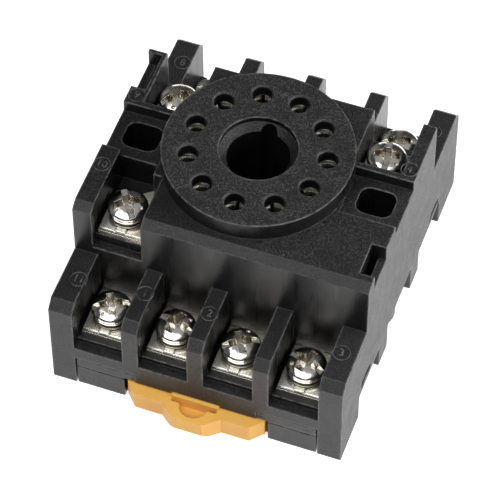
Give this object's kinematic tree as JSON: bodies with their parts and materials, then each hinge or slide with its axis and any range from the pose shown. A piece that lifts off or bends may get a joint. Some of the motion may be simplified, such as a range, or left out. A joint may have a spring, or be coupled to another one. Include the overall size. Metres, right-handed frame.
{
  "type": "relay socket",
  "caption": "Two-tier round relay socket for a 35 mm rail, with pin holes round a keyed centre, sprung rail slider and screw terminals whose clamp plates rise with the screws.",
  "frame": {"origin": "midway between the two mounting slots, on the plane that the feet stand on", "axes": "+X along the rail, -Y towards the rail slider, +Z towards the relay"},
  "size_m": [0.042, 0.0544, 0.0291],
  "materials": {
    "housing_plastic": "fine moulded grain",
    "cover_plastic": "fine moulded grain",
    "slider_plastic": "satin",
    "spring_steel": "drawn wire",
    "strip_metal": "nickel plated",
    "clamp_metal": "nickel plated",
    "washer_metal": "nickel plated",
    "screw_metal": "bright nickel plated",
    "contact_metal": "nickel plated brass"
  },
  "bodies": {
    "socket": {"housing": "housing_plastic", "base_cover": "cover_plastic", "slider_spring": "spring_steel", "terminal_strip_1": "strip_metal", "terminal_strip_2": "strip_metal", "terminal_strip_3": "strip_metal", "terminal_strip_4": "strip_metal", "terminal_strip_5": "strip_metal", "terminal_strip_6": "strip_metal", "terminal_strip_7": "strip_metal", "terminal_strip_8": "strip_metal", "terminal_strip_9": "strip_metal", "terminal_strip_10": "strip_metal", "terminal_strip_11": "strip_metal", "pin_contact_1": "contact_metal", "pin_contact_2": "contact_metal", "pin_contact_3": "contact_metal", "pin_contact_4": "contact_metal", "pin_contact_5": "contact_metal", "pin_contact_6": "contact_metal", "pin_contact_7": "contact_metal", "pin_contact_8": "contact_metal", "pin_contact_9": "contact_metal", "pin_contact_10": "contact_metal", "pin_contact_11": "contact_metal"},
    "slider": {"rail_slider": "slider_plastic"},
    "clamp_1": {"clamp_plate_1": "clamp_metal", "lock_washer_1": "washer_metal"},
    "screw_1": {"terminal_screw_1": "screw_metal"},
    "clamp_2": {"clamp_plate_2": "clamp_metal", "lock_washer_2": "washer_metal"},
    "screw_2": {"terminal_screw_2": "screw_metal"},
    "clamp_3": {"clamp_plate_3": "clamp_metal", "lock_washer_3": "washer_metal"},
    "screw_3": {"terminal_screw_3": "screw_metal"},
    "clamp_4": {"clamp_plate_4": "clamp_metal", "lock_washer_4": "washer_metal"},
    "screw_4": {"terminal_screw_4": "screw_metal"},
    "clamp_5": {"clamp_plate_5": "clamp_metal", "lock_washer_5": "washer_metal"},
    "screw_5": {"terminal_screw_5": "screw_metal"},
    "clamp_6": {"clamp_plate_6": "clamp_metal", "lock_washer_6": "washer_metal"},
    "screw_6": {"terminal_screw_6": "screw_metal"},
    "clamp_7": {"clamp_plate_7": "clamp_metal", "lock_washer_7": "washer_metal"},
    "screw_7": {"terminal_screw_7": "screw_metal"},
    "clamp_8": {"clamp_plate_8": "clamp_metal", "lock_washer_8": "washer_metal"},
    "screw_8": {"terminal_screw_8": "screw_metal"},
    "clamp_9": {"clamp_plate_9": "clamp_metal", "lock_washer_9": "washer_metal"},
    "screw_9": {"terminal_screw_9": "screw_metal"},
    "clamp_10": {"clamp_plate_10": "clamp_metal", "lock_washer_10": "washer_metal"},
    "screw_10": {"terminal_screw_10": "screw_metal"},
    "clamp_11": {"clamp_plate_11": "clamp_metal", "lock_washer_11": "washer_metal"},
    "screw_11": {"terminal_screw_11": "screw_metal"}
  },
  "joints": [
    {"name": "slider_pull", "type": "slide", "parent": "socket", "child": "slider", "axis": [0, -1, 0], "range_m": [0, 0.003], "stiffness_N_per_m": 800, "springref_m": -0.002, "deforming": ["slider_spring"]},
    {"name": "clamp_lift_1", "type": "slide", "parent": "socket", "child": "clamp_1", "axis": [0, 0, 1], "range_m": [0, 0.002]},
    {"name": "screw_turn_1", "type": "hinge", "parent": "clamp_1", "child": "screw_1", "pos_m": [-0.00469, -0.0201, 0.0111], "axis": [0, 0, 1], "range_deg": [0, 1440]},
    {"name": "clamp_lift_2", "type": "slide", "parent": "socket", "child": "clamp_2", "axis": [0, 0, 1], "range_m": [0, 0.002]},
    {"name": "screw_turn_2", "type": "hinge", "parent": "clamp_2", "child": "screw_2", "pos_m": [0.00469, -0.0201, 0.0111], "axis": [0, 0, 1], "range_deg": [0, 1440]},
    {"name": "clamp_lift_3", "type": "slide", "parent": "socket", "child": "clamp_3", "axis": [0, 0, 1], "range_m": [0, 0.002]},
    {"name": "screw_turn_3", "type": "hinge", "parent": "clamp_3", "child": "screw_3", "pos_m": [0.01407, -0.0201, 0.0111], "axis": [0, 0, 1], "range_deg": [0, 1440]},
    {"name": "clamp_lift_4", "type": "slide", "parent": "socket", "child": "clamp_4", "axis": [0, 0, 1], "range_m": [0, 0.002]},
    {"name": "screw_turn_4", "type": "hinge", "parent": "clamp_4", "child": "screw_4", "pos_m": [0.01557, 0.0086, 0.0223], "axis": [0, 0, 1], "range_deg": [0, 1440]},
    {"name": "clamp_lift_5", "type": "slide", "parent": "socket", "child": "clamp_5", "axis": [0, 0, 1], "range_m": [0, 0.002]},
    {"name": "screw_turn_5", "type": "hinge", "parent": "clamp_5", "child": "screw_5", "pos_m": [0.01407, 0.0201, 0.0111], "axis": [0, 0, 1], "range_deg": [0, 1440]},
    {"name": "clamp_lift_6", "type": "slide", "parent": "socket", "child": "clamp_6", "axis": [0, 0, 1], "range_m": [0, 0.002]},
    {"name": "screw_turn_6", "type": "hinge", "parent": "clamp_6", "child": "screw_6", "pos_m": [0.00469, 0.0201, 0.0111], "axis": [0, 0, 1], "range_deg": [0, 1440]},
    {"name": "clamp_lift_7", "type": "slide", "parent": "socket", "child": "clamp_7", "axis": [0, 0, 1], "range_m": [0, 0.002]},
    {"name": "screw_turn_7", "type": "hinge", "parent": "clamp_7", "child": "screw_7", "pos_m": [-0.00469, 0.0201, 0.0111], "axis": [0, 0, 1], "range_deg": [0, 1440]},
    {"name": "clamp_lift_8", "type": "slide", "parent": "socket", "child": "clamp_8", "axis": [0, 0, 1], "range_m": [0, 0.002]},
    {"name": "screw_turn_8", "type": "hinge", "parent": "clamp_8", "child": "screw_8", "pos_m": [-0.01407, 0.0201, 0.0111], "axis": [0, 0, 1], "range_deg": [0, 1440]},
    {"name": "clamp_lift_9", "type": "slide", "parent": "socket", "child": "clamp_9", "axis": [0, 0, 1], "range_m": [0, 0.002]},
    {"name": "screw_turn_9", "type": "hinge", "parent": "clamp_9", "child": "screw_9", "pos_m": [-0.01477, 0.0086, 0.0223], "axis": [0, 0, 1], "range_deg": [0, 1440]},
    {"name": "clamp_lift_10", "type": "slide", "parent": "socket", "child": "clamp_10", "axis": [0, 0, 1], "range_m": [0, 0.002]},
    {"name": "screw_turn_10", "type": "hinge", "parent": "clamp_10", "child": "screw_10", "pos_m": [-0.01477, -0.011, 0.0223], "axis": [0, 0, 1], "range_deg": [0, 1440]},
    {"name": "clamp_lift_11", "type": "slide", "parent": "socket", "child": "clamp_11", "axis": [0, 0, 1], "range_m": [0, 0.002]},
    {"name": "screw_turn_11", "type": "hinge", "parent": "clamp_11", "child": "screw_11", "pos_m": [-0.01407, -0.0201, 0.0111], "axis": [0, 0, 1], "range_deg": [0, 1440]}
  ],
  "couplings": [
    {"joint": "screw_turn_1", "follows": "clamp_lift_1", "rad_per_m": 12566},
    {"joint": "screw_turn_2", "follows": "clamp_lift_2", "rad_per_m": 12566},
    {"joint": "screw_turn_3", "follows": "clamp_lift_3", "rad_per_m": 12566},
    {"joint": "screw_turn_4", "follows": "clamp_lift_4", "rad_per_m": 12566},
    {"joint": "screw_turn_5", "follows": "clamp_lift_5", "rad_per_m": 12566},
    {"joint": "screw_turn_6", "follows": "clamp_lift_6", "rad_per_m": 12566},
    {"joint": "screw_turn_7", "follows": "clamp_lift_7", "rad_per_m": 12566},
    {"joint": "screw_turn_8", "follows": "clamp_lift_8", "rad_per_m": 12566},
    {"joint": "screw_turn_9", "follows": "clamp_lift_9", "rad_per_m": 12566},
    {"joint": "screw_turn_10", "follows": "clamp_lift_10", "rad_per_m": 12566},
    {"joint": "screw_turn_11", "follows": "clamp_lift_11", "rad_per_m": 12566}
  ]
}
